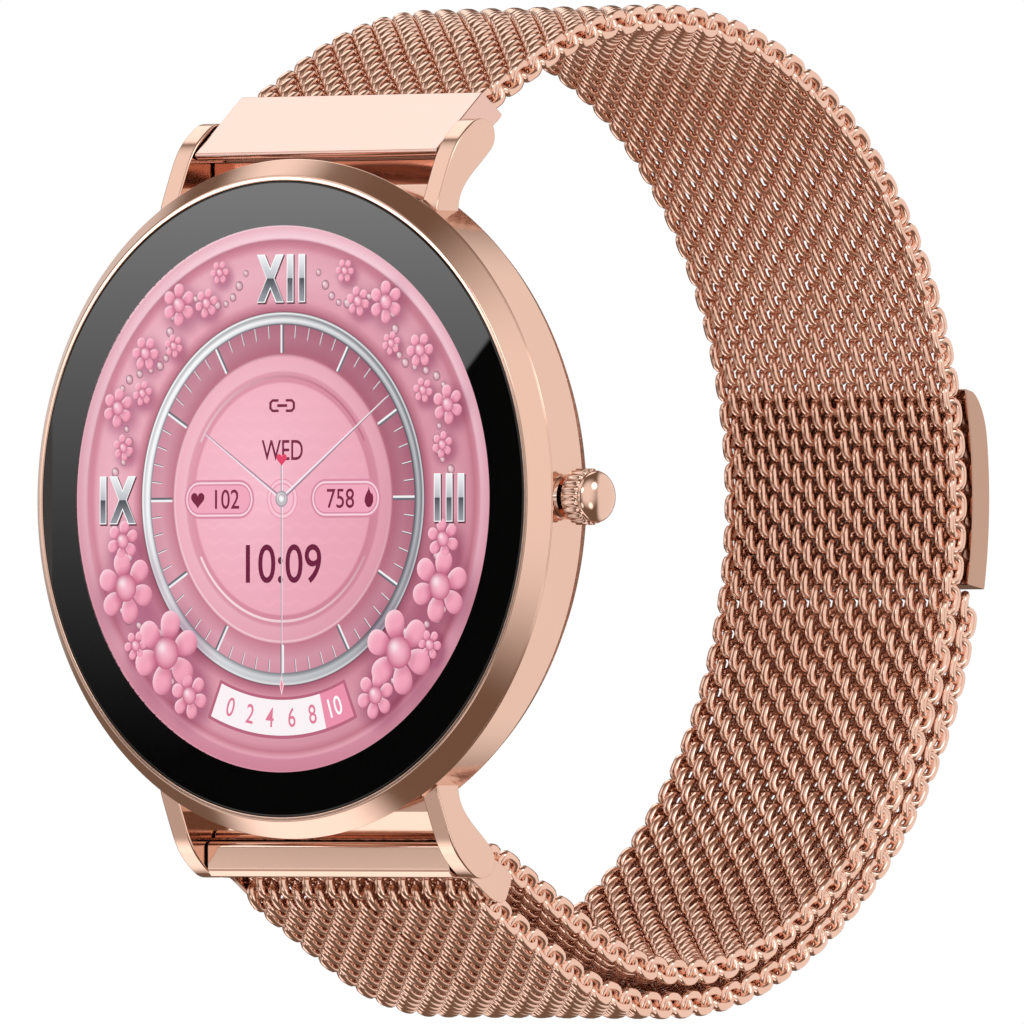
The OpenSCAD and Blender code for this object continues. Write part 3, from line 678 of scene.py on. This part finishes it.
kept = (
    (foam_tape, "glass_adhesive"), (moulded_rubber, "bezel_seal back_seal crown_seal"),
    (polyimide, "display_flex sensor_flex"),
    (black_plastic, "display_panel display_frame board_sockets speaker crown_plunger crown_switch"),
    (board_laminate, "main_board sensor_board"), (tin_plate, "shield_cans vibration_motor"),
    (foil_pouch, "battery"), (white_tape, "battery_pad"), (gold_plate, "microphone charging_contacts"),
    (brushed_cover, "back_cover"), (smoked_window, "sensor_window"), (diode_lens, "sensor_leds"),
    (nickel_magnet, "charging_magnets clasp_magnets"), (mirror_plate, "crown_tube"),
    (turned_steel, "back_screws crown_stem upper_spring_bar lower_spring_bar spring_bar_tips clasp_liner"),
    (spring_steel, "crown_spring spring_bar_springs"))
for finish, nodes in kept:
    for node in nodes.split():
        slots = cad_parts[node].data.materials
        slots.clear()
        slots.append(finish)

# ---------------------------------------------------------------- lit dial
# A round colour display laminated to the glass, so its picture seems to lie on the glass's face. It is a
# pink watch face with soft relief, and each part of it is a thin sheet that glows in its own colours.

dial_y = glass_y + 0.14
# A lit colour display: it glows by its own light and has no gloss, as the glass over it has that
dial_glow, tree, shader = material_of("lit_colour_display", Base_Color=(0, 0, 0, 1), Roughness=0.6,
                                      Specular_IOR_Level=0.0, Emission_Strength=1.0)
tree.links.new(add(tree, "ShaderNodeAttribute", attribute_name="tint").outputs["Color"],
               shader.inputs["Emission Color"])


def tone(code):
    return np.array(srgb(code)[:3])


def glowing(piece, colours):
    """Stores one linear colour per point, for the display's glow."""
    colours = np.column_stack([colours, np.ones(len(colours))]).astype(np.float32)
    piece.data.attributes.new("tint", "FLOAT_COLOR", "POINT").data.foreach_set("color", colours.reshape(-1))
    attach(piece, "case")
    return piece


def polar(radius, angle):
    """X and Z of a place on the dial, from its radius and its clockwise angle from 12 o'clock."""
    return np.stack([radius * np.sin(np.radians(angle)), radius * np.cos(np.radians(angle))], -1)


def sheets(name, shapes, lift):
    """Flat outlines on the dial, each with one colour or a colour per point, as one mesh. Each is
    turned to face the glass, and lies lift millimetres in front of the panel."""
    points, colours, faces, base = [], [], [], 0
    for outline, colour in shapes:
        outline = np.asarray(outline, float)
        colour = np.broadcast_to(np.atleast_2d(colour), (len(outline), 3))
        x, z = outline.T
        order = np.arange(len(outline))[::1 if loop_area(outline) >= 0 else -1]
        points.append(np.stack([x, np.full(len(x), dial_y - lift), z], -1))
        colours.append(colour)
        faces.append((base + order)[None, :])
        base += len(outline)
    piece = mesh_of(name, np.concatenate(points), faces, dial_glow, 180)
    return glowing(piece, np.concatenate(colours))


# Garland: place of each blossom as clockwise angle, radius and size, the same list on both sides
garland = np.array([(20, 14.9, 0.75), (27, 13.6, 0.95), (35, 14.7, 1.35), (43, 13.0, 0.75), (51, 14.4, 1.1),
                    (60, 13.2, 0.8), (67, 14.6, 1.25), (76, 13.4, 0.85), (101, 13.3, 1.3), (113, 13.9, 2.3),
                    (127, 15.0, 0.95), (135, 13.4, 2.7), (148, 14.3, 1.5)])
garland = np.concatenate([garland, garland * (-1, 1, 1)])
flower_at = polar(garland[:, 1], garland[:, 0])
flower_size = garland[:, 2]

# Base: radius, colour where the light falls, colour away from it, and where the light comes from
base_rows = (
    (0.02, "#F7BFCE", "#F0AEC0", 300), (7.1, "#F4B5C5", "#E9A6B7", 300), (7.25, "#DE95A7", "#CF8598", 300),
    (7.8, "#E2A0B0", "#D28B9D", 300), (7.95, "#F3BAC8", "#E2A0B0", 300), (8.7, "#F1B4C3", "#DE9DAD", 300),
    (8.8, "#F8D0D9", "#DB98A9", 225), (8.95, "#C77D90", "#B3697C", 225), (9.1, "#CD8799", "#AA6376", 225),
    (9.9, "#DDA0B0", "#B06E80", 225), (10.7, "#DA9BAC", "#A66075", 225), (10.77, "#8E8E95", "#4A4B51", 240),
    (10.9, "#E9EBEE", "#85868C", 300), (11.05, "#FFFFFF", "#B4B6BB", 300), (11.3, "#D5D6DA", "#6E6F76", 240),
    (11.45, "#FFFFFF", "#D5D7DA", 300), (11.52, "#7E636C", "#6C4955", 300), (11.6, "#BB6F83", "#A95F74", 300),
    (12.3, "#E9A9B9", "#D48F9F", 300), (13.8, "#EEB6C4", "#DA9AA9", 300), (15.2, "#EAADBC", "#CF8B9C", 300),
    (15.6, "#D58B9D", "#C07888", 300), (15.95, "#E5A5B4", "#BE7486", 180), (16.1, "#F4CBD6", "#D38CA0", 0),
    (16.2, "#F6CFD9", "#D08A9E", 0), (16.75, "#EBB4C2", "#CE8598", 0), (16.86, "#F6D3DC", "#D995A8", 0))
knots = np.array([row[0] for row in base_rows])
lit = np.array([tone(row[1]) for row in base_rows])
away = np.array([tone(row[2]) for row in base_rows])
light_from = np.array([row[3] for row in base_rows])
disc_r = np.unique(np.concatenate([knots, np.linspace(0.02, 16.86, 110)]))
disc_a = np.linspace(0, 360, 540, endpoint=False)
toward_light = 0.5 + 0.5 * np.cos(np.radians(disc_a[:, None] - light_from[None, :]))
at_knots = away[None] + (lit - away)[None] * toward_light[..., None]
colour = np.stack([[np.interp(disc_r, knots, row[:, channel]) for row in at_knots] for channel in range(3)], -1)
disc_at = polar(disc_r[None, :], disc_a[:, None])
waves = np.sin(disc_at[..., 1] * 2 * math.pi / 0.95 + 0.9 * np.sin(disc_at[..., 0] * 2 * math.pi / 1.5))
inside = np.clip((7.0 - disc_r) / 0.2, 0, 1)[None, :, None]
colour = colour * (1 + 0.045 * inside * np.clip(waves * 3 - 2, 0, 1)[..., None])
shade_at = flower_at + np.array([0.25, -0.3])
gap = np.linalg.norm(disc_at[:, :, None] - shade_at[None, None], axis=-1) / (flower_size * 1.15)
shade = np.clip(np.exp(-gap ** 4).sum(-1), 0, 1)[..., None]
colour = colour * (1 - shade * np.array([0.42, 0.62, 0.5]))
disc_points = np.stack([disc_at[..., 0], np.full(disc_at.shape[:2], dial_y - 0.01), disc_at[..., 1]], -1)
disc = mesh_of("dial_base", disc_points.reshape(-1, 3),
               [grid_faces(540, len(disc_r), wrap_rows=True)[:, ::-1]], dial_glow, 180)
glowing(disc, colour.reshape(-1, 3))

# Minute and hour marks, silver with a light side and a dark side
marks = []
for minute in range(60):
    hour = minute % 5 == 0
    inner, outer, half = (9.0, 10.74, 0.14) if hour else (9.95, 10.72, 0.05)
    centre, across_mark = polar(1.0, minute * 6.0), polar(1.0, minute * 6.0 + 90)
    for shift, code in ((-half / 2, "#F1F2F4"), (half / 2, "#6E6F77")):
        corners = [centre * r + across_mark * (shift + w) for r, w in
                   ((inner, -half / 2), (outer, -half / 2), (outer, half / 2), (inner, half / 2))]
        marks.append((corners, tone(code)))
sheets("dial_marks", marks, 0.03)

# Two arc grooves round the inner disc
grooves = []
for middle in (0, 180):
    a = np.linspace(-62, 62, 60) + middle
    glow = (0.5 + 0.5 * np.cos(np.radians(a - 230)))[:, None]
    colours = tone("#C4758B") + (tone("#F9DBE2") - tone("#C4758B")) * glow
    outline = np.concatenate([polar(7.47, a), polar(7.63, a[::-1])])
    grooves.append((outline, np.concatenate([colours, colours[::-1]])))
sheets("dial_grooves", grooves, 0.02)

# Garland blossoms: six oval petals round a domed middle, lighter at the rims
rho = np.linspace(0.0, 1.0, 7)[None, None, :, None]
phi = np.linspace(0, 2 * math.pi, 20, endpoint=False)[None, None, None, :]
petal_turn = np.radians(garland[:, 0] * 1.7)[:, None, None, None]
petal_a = np.radians(60 * np.arange(6))[None, :, None, None] + petal_turn
size = flower_size[:, None, None, None]
u = size * (0.62 + 0.36 * rho * np.cos(phi))
v = size * (0.29 + 0.05 * np.cos(phi)) * rho * np.sin(phi)
petal_x = flower_at[:, 0, None, None, None] + u * np.sin(petal_a) + v * np.cos(petal_a)
petal_z = flower_at[:, 1, None, None, None] + u * np.cos(petal_a) - v * np.sin(petal_a)
order = np.linspace(0, 0.012, len(garland))[:, None, None, None]
petal_y = dial_y - 0.04 - order - 0.012 * (1 - rho ** 2) + 0 * petal_x
petals = np.stack([petal_x, petal_y, petal_z], -1)
reach = np.clip((0.62 + 0.36 * rho * np.cos(phi)) / 0.98, 0, 1)
deep, pink, rim_pink, dusk = tone("#C76686"), tone("#F4A6BC"), tone("#FFE3EB"), tone("#AE5672")
mix_in = np.clip((reach - 0.3) / 0.3, 0, 1)[..., None]
to_light = np.cos(petal_a + phi - math.radians(315))[..., None]
mix_out = (rho ** 3)[..., None] * abs(to_light)
petal_colour = deep + (pink - deep) * mix_in
petal_colour = petal_colour + (np.where(to_light > 0, rim_pink, dusk) - petal_colour) * mix_out * 0.85
petal_colour = np.broadcast_to(petal_colour, petals.shape)
one = grid_faces(7, 20, wrap_columns=True)
blocks = (np.arange(len(garland) * 6) * 140)[:, None, None]
blossoms = mesh_of("dial_blossoms", petals.reshape(-1, 3), [(one[None] + blocks).reshape(-1, 4)[:, ::-1]],
                   dial_glow, 180)
glowing(blossoms, petal_colour.reshape(-1, 3))


def beads(name, places, sizes, lift, middle, edge, shine="#FFF2F5"):
    """Small domes: a round grid per bead, its colour from the middle to the edge by radius squared,
    with a shine towards the upper left."""
    rr = np.linspace(0, 1, 6)[None, :, None]
    aa = np.linspace(0, 2 * math.pi, 18, endpoint=False)[None, None, :]
    sizes = np.broadcast_to(sizes, (len(places),))[:, None, None]
    x = places[:, 0, None, None] + sizes * rr * np.sin(aa)
    z = places[:, 1, None, None] + sizes * rr * np.cos(aa)
    y = dial_y - lift - 0.006 * (1 - rr ** 2) + 0 * x
    colours = tone(middle) + (tone(edge) - tone(middle)) * (rr ** 2)[..., None] + 0 * x[..., None]
    spot = np.exp(-(((rr * np.sin(aa) + 0.35) ** 2 + (rr * np.cos(aa) - 0.35) ** 2) / 0.12))[..., None]
    colours = colours + (tone(shine) - colours) * spot * 0.8
    count = np.arange(len(places)) * 108
    quads = (grid_faces(6, 18, wrap_columns=True)[None] + count[:, None, None]).reshape(-1, 4)[:, ::-1]
    piece = mesh_of(name, np.stack([x, y, z], -1).reshape(-1, 3), [quads], dial_glow, 180)
    return glowing(piece, colours.reshape(-1, 3))


beads("dial_blossom_middles", flower_at, flower_size * 0.38, 0.066, "#F9B4C8", "#C0637F")
pearl_a = np.concatenate([np.arange(12, 83, 2.95), np.arange(97, 152, 2.95)])
pearl_a = np.concatenate([pearl_a, -pearl_a])
pearl_r = 13.85 + 0.95 * np.sin(np.radians(abs(pearl_a) * 13))
beads("dial_pearls", polar(pearl_r, pearl_a), 0.27 + 0.05 * np.cos(pearl_a * 5), 0.03, "#EBBFCA", "#8A4F61")


def lettering(name, entries, material=dial_glow):
    """Plain sans serif text on the dial. Each entry is the text, its height, its middle as X and Z,
    its colour, its lift, its turn in degrees clockwise and how wide its letters are."""
    points, colours, faces, base = [], [], [], 0
    for body, height, x, z, colour, lift, spin, squeeze in entries:
        curve = bpy.data.curves.new("text", "FONT")
        curve.body, curve.align_x, curve.resolution_u, curve.offset = body, "CENTER", 6, 0.006
        text = bpy.data.objects.new("text", curve)
        scene.collection.objects.link(text)
        bpy.context.view_layer.update()
        mesh = bpy.data.meshes.new_from_object(text.evaluated_get(bpy.context.evaluated_depsgraph_get()))
        flat = np.zeros(len(mesh.vertices) * 3, np.float32)
        mesh.vertices.foreach_get("co", flat)
        flat = flat.reshape(-1, 3)[:, :2].astype(float)
        low, high = flat.min(0), flat.max(0)
        flat = (flat - (low + high) / 2) / (high[1] - low[1]) * height * (squeeze, 1)
        c, s = math.cos(math.radians(spin)), math.sin(math.radians(spin))
        points.append(np.stack([x + flat[:, 0] * c + flat[:, 1] * s, np.full(len(flat), dial_y - lift),
                                z - flat[:, 0] * s + flat[:, 1] * c], -1))
        colours.append(np.broadcast_to(tone(colour), (len(flat), 3)))
        faces += [np.array([[base + v for v in face.vertices]]) for face in mesh.polygons]
        base += len(flat)
        bpy.data.objects.remove(text)
        bpy.data.meshes.remove(mesh)
    return glowing(mesh_of(name, np.concatenate(points), faces, material, 180), np.concatenate(colours))


maroon = "#7A2A45"
lettering("dial_words", (
    ("WED", 1.25, 0.0, 3.0, maroon, 0.03, 0, 0.83), ("102", 1.2, -4.5, 0.0, maroon, 0.045, 0, 0.92),
    ("758", 1.2, 4.75, 0.0, maroon, 0.045, 0, 0.92), ("10:09", 2.4, 0.1, -4.0, "#6E2440", 0.03, 0, 0.92)))

# Pills at 3 and 9 o'clock: a dark rim, a light rim, a dark line and a floor


def stadium(x, half_x, half_z):
    """An outline with two straight sides and two half-round ends."""
    a = np.radians(np.linspace(-90, 90, 20))
    right = np.stack([half_x - half_z + half_z * np.cos(a), half_z * np.sin(a)], -1)
    return np.concatenate([right, -right]) + (x, 0)


pill_steps = ((0.0, "#D98DA5"), (-0.14, "#FAD5DF"), (-0.26, "#DB8FA7"), (-0.36, "#F2A9BE"))
for number, (grow, code) in enumerate(pill_steps):
    pills = [(stadium(x, 2.85 + grow, 1.2 + grow), tone(code)) for x in (-5.15, 5.15)]
    sheets(f"dial_pill_step_{number + 1}", pills, 0.02 + 0.004 * number)

a = np.linspace(0, 2 * math.pi, 40, endpoint=False)
heart = np.stack([16 * np.sin(a) ** 3,
                  13 * np.cos(a) - 5 * np.cos(2 * a) - 2 * np.cos(3 * a) - np.cos(4 * a)], -1) / 16
flame = np.array([(0, 1.15), (0.12, 0.75), (0.42, 0.35), (0.5, 0.55), (0.68, 0.1), (0.66, -0.4), (0.35, -0.85),
                  (0, -0.95), (-0.35, -0.85), (-0.66, -0.4), (-0.62, 0.05), (-0.35, 0.5), (-0.1, 0.8)])
bracket = np.array([(-0.2, 0.5), (-0.75, 0.5), (-1.0, 0.25), (-1.0, -0.25), (-0.75, -0.5), (-0.2, -0.5),
                    (-0.2, -0.3), (-0.68, -0.3), (-0.8, -0.18), (-0.8, 0.18), (-0.68, 0.3), (-0.2, 0.3)])
dash = np.array([(-0.45, -0.1), (0.45, -0.1), (0.45, 0.1), (-0.45, 0.1)])
icons = (heart * 0.55 + (-6.9, 0), flame * 0.62 * (0.85, 1) + (7.05, 0.02), bracket * (0.95, 0.8) + (-0.1, 5.75),
         bracket * (-0.95, 0.8) + (0.1, 5.75), dash * 0.9 + (0, 5.75))
sheets("dial_icons", [(icon, tone(maroon)) for icon in icons], 0.045)

# Level window at 6 o'clock: a white arc with a pink last cell


def arc_band(r0, r1, a0, a1):
    """A closed outline between two radii and two clockwise angles."""
    return np.concatenate([polar(r1, np.linspace(a0, a1, 40)), polar(r0, np.linspace(a1, a0, 40))])


for part, lift, code, outline in (
        ("shadow", 0.02, "#B9687F", arc_band(12.22, 14.8, 204.4, 155.6)),
        ("window", 0.024, "#FCF3F6", arc_band(12.4, 14.6, 203.5, 156.5)),
        ("cell", 0.028, "#EE93AE", arc_band(12.4, 14.6, 165.8, 156.5))):
    sheets(f"dial_level_{part}", [(outline, tone(code))], lift)
lettering("dial_level_numbers", [
    (str(2 * step), 1.2, *polar(13.5, 180 + off), "#E0809C" if step < 5 else "#FFFFFF", 0.034, off, 0.8)
    for step, off in enumerate((18.2, 11.2, 4.3, -3.3, -10.5, -18.6))])

# Roman numerals built from plain bars, light above and dark below. Each bar is given by the place of
# its foot and of its head, as a share of the letter's width
BARS = {"I": ((0.5, 0.5),), "X": ((0.16, 0.84), (0.84, 0.16))}
WIDTHS = {"I": 0.33, "X": 0.78}


def numeral(text, x, z, height, grow=0.0):
    """Slanted bars cut level at both ends, side by side about x, and centred on z."""
    shapes, pen = [], -sum(WIDTHS[letter] for letter in text) / 2
    for letter in text:
        wide = WIDTHS[letter]
        half = (0.082 if letter == "I" else 0.1) + grow
        for foot, head in BARS[letter]:
            foot_x, head_x = pen + foot * wide, pen + head * wide
            shapes.append([(foot_x - half, -grow), (foot_x + half, -grow),
                           (head_x + half, 1 + grow), (head_x - half, 1 + grow)])
        pen += wide
    return [np.array(shape) * height + (x, z - height / 2) for shape in shapes]


def split_tones(shapes, z, height, codes):
    """Cuts each bar at the middle height, and gives its upper and lower parts a colour that runs from
    its top to its bottom."""
    top_a, top_b, low_a, low_b = (tone(code) for code in codes)
    out = []
    for shape in shapes:
        (x0, z0), (x1, _), (x2, z2), (x3, _) = shape
        cut = min(max(z, z0), z2)
        share = (cut - z0) / (z2 - z0)
        left, right = x0 + (x3 - x0) * share, x1 + (x2 - x1) * share
        for part, first, last in (([(left, cut), (right, cut), (x2, z2), (x3, z2)], top_b, top_a),
                                  ([(x0, z0), (x1, z0), (right, cut), (left, cut)], low_b, low_a)):
            if part[2][1] - part[0][1] > 1e-6:
                heights = np.array([p[1] for p in part])
                share_up = np.clip(abs(heights - z) / (height / 2), 0, 1)[:, None]
                near, far = (first, last) if first is top_b else (last, first)
                out.append((part, near + (far - near) * share_up))
    return out


roman = (("XII", 0.0, 13.6), ("III", 13.55, 0.0), ("IX", -13.55, 0.0))
tall = 2.9
sheets("dial_numeral_shadows", [(shape + (0.07, -0.08), tone("#5E3A48")) for text, x, z in roman
                                for shape in numeral(text, x, z, tall, 0.022)], 0.05)
sheets("dial_numeral_edges", [(shape, tone("#FFFFFF")) for text, x, z in roman
                              for shape in numeral(text, x, z, tall, 0.012)], 0.055)
silver = ("#F2F3F5", "#B9BCC2", "#4C4E55", "#9EA1A8")
sheets("dial_numerals", [part for text, x, z in roman for part in
                         split_tones(numeral(text, x, z, tall, -0.008), z, tall, silver)], 0.06)

# Rings under the pivot
rings = ((1.25, "#E79AB1"), (1.18, "#F9C6D4"), (0.98, "#E596AE"), (0.9, "#F7BCCD"))
for number, (r, code) in enumerate(rings):
    outline = polar(r, np.linspace(0, 360, 48, endpoint=False))
    sheets(f"dial_pivot_ring_{number + 1}", [(outline, tone(code))], 0.034 + 0.002 * number)

# Hands: slim tapered rods, one side light and the other in shade


def hand(angle, tail, tip, root_half, tip_half, codes):
    along_hand, beside_hand = polar(1.0, angle), polar(1.0, angle + 90)
    out = []
    for side, code in zip((-1, 1), codes):
        corners = ((tail, 0), (tail, side * root_half), (tip, side * tip_half), (tip, 0))
        out.append(([along_hand * r + beside_hand * w for r, w in corners], tone(code)))
    return out


sheets("dial_hour_hand", hand(303, 0, 7.4, 0.13, 0.06, ("#F3E4EC", "#B08E9E")), 0.075)
sheets("dial_minute_hand", hand(54, 0, 10.5, 0.14, 0.06, ("#F7EAF1", "#A98A9A")), 0.085)
second = hand(180, -2.3, 10.9, 0.07, 0.04, ("#F4F4F6", "#8E8A92"))
diamond = [(0, 1), (0.28, 0), (0, -1), (-0.28, 0)]
second += [(np.array(diamond) * 0.62 + (0, -11.5), tone("#F9DCE4"))]
sheets("dial_second_hand", second, 0.1)
sheets("dial_second_marks", [(np.array(diamond) * 0.4 + (0, -11.5), tone("#F08FAA")),
                             (heart * 0.42 + (0, 2.45), tone("#E2486A"))], 0.105)
beads("dial_pivot_jewel", np.array([[0.0, 0.0]]), 0.5, 0.112, "#F4F0F3", "#8D858D")
beads("dial_pivot_stone", np.array([[0.0, 0.0]]), 0.3, 0.12, "#FFFFFF", "#9A9199")
